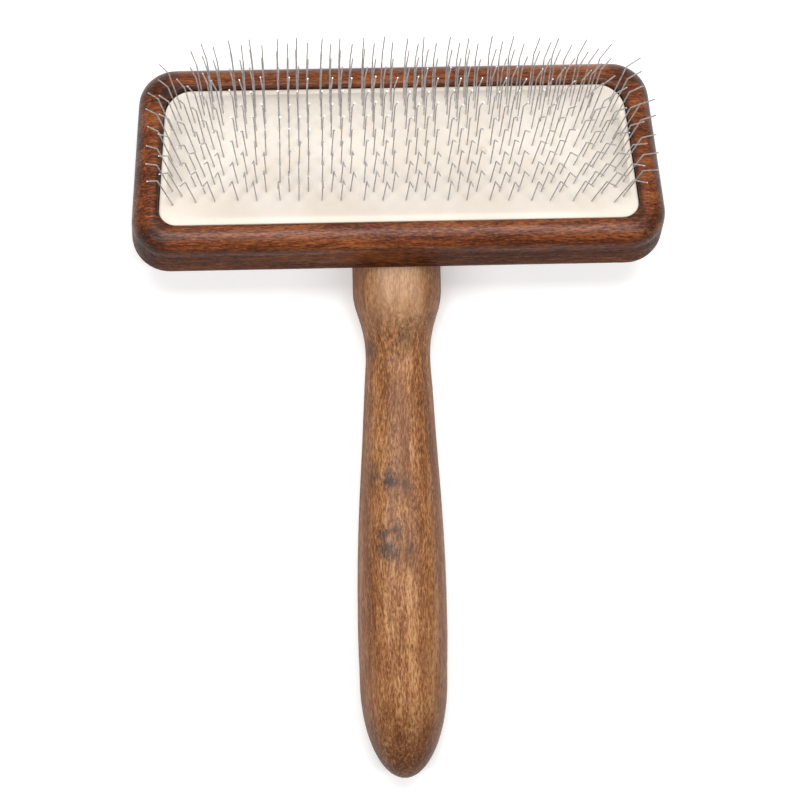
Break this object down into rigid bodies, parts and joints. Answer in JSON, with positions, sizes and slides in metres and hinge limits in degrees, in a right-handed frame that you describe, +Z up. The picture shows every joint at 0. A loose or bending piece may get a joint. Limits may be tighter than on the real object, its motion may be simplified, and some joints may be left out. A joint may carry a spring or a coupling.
{
  "type": "slicker brush",
  "caption": "Pet slicker brush: a wooden head with a domed rubber air cushion full of bent wire pins, on a turned wooden handle that tilts back from the head.",
  "frame": {"origin": "on the table, under the middle of the brush's box, as it lies on its back with the pins up", "axes": "+Y from the handle to the head, along the brush's length; +Z up; +X to the right seen from above with the handle towards the viewer"},
  "size_m": [0.1258, 0.1786, 0.051],
  "materials": {
    "head_wood": "satin lacquer, stained red brown, darker at the edges",
    "handle_wood": "satin lacquer, golden brown",
    "screw_steel": "plain zinc plated",
    "cushion_rubber": "matt, cream",
    "cushion_cloth": "plain weave cotton",
    "pin_wire": "bright drawn wire"
  },
  "bodies": {
    "head": {"head_block": "head_wood", "handle": "handle_wood", "head_screws": "screw_steel"},
    "pin_bed": {"cushion_skin": "cushion_rubber", "backing_cloth": "cushion_cloth", "staple_row_01": "pin_wire", "staple_row_02": "pin_wire", "staple_row_03": "pin_wire", "staple_row_04": "pin_wire", "staple_row_05": "pin_wire", "staple_row_06": "pin_wire", "staple_row_07": "pin_wire", "staple_row_08": "pin_wire", "staple_row_09": "pin_wire", "staple_row_10": "pin_wire", "staple_row_11": "pin_wire", "staple_row_12": "pin_wire", "staple_row_13": "pin_wire", "staple_row_14": "pin_wire", "staple_row_15": "pin_wire"}
  },
  "joints": [
    {"name": "cushion_press", "type": "slide", "parent": "head", "child": "pin_bed", "axis": [0, 0.4344, 0.9007], "range_m": [-0.0025, 0], "stiffness_N_per_m": 4000, "deforming": ["cushion_skin"]}
  ]
}
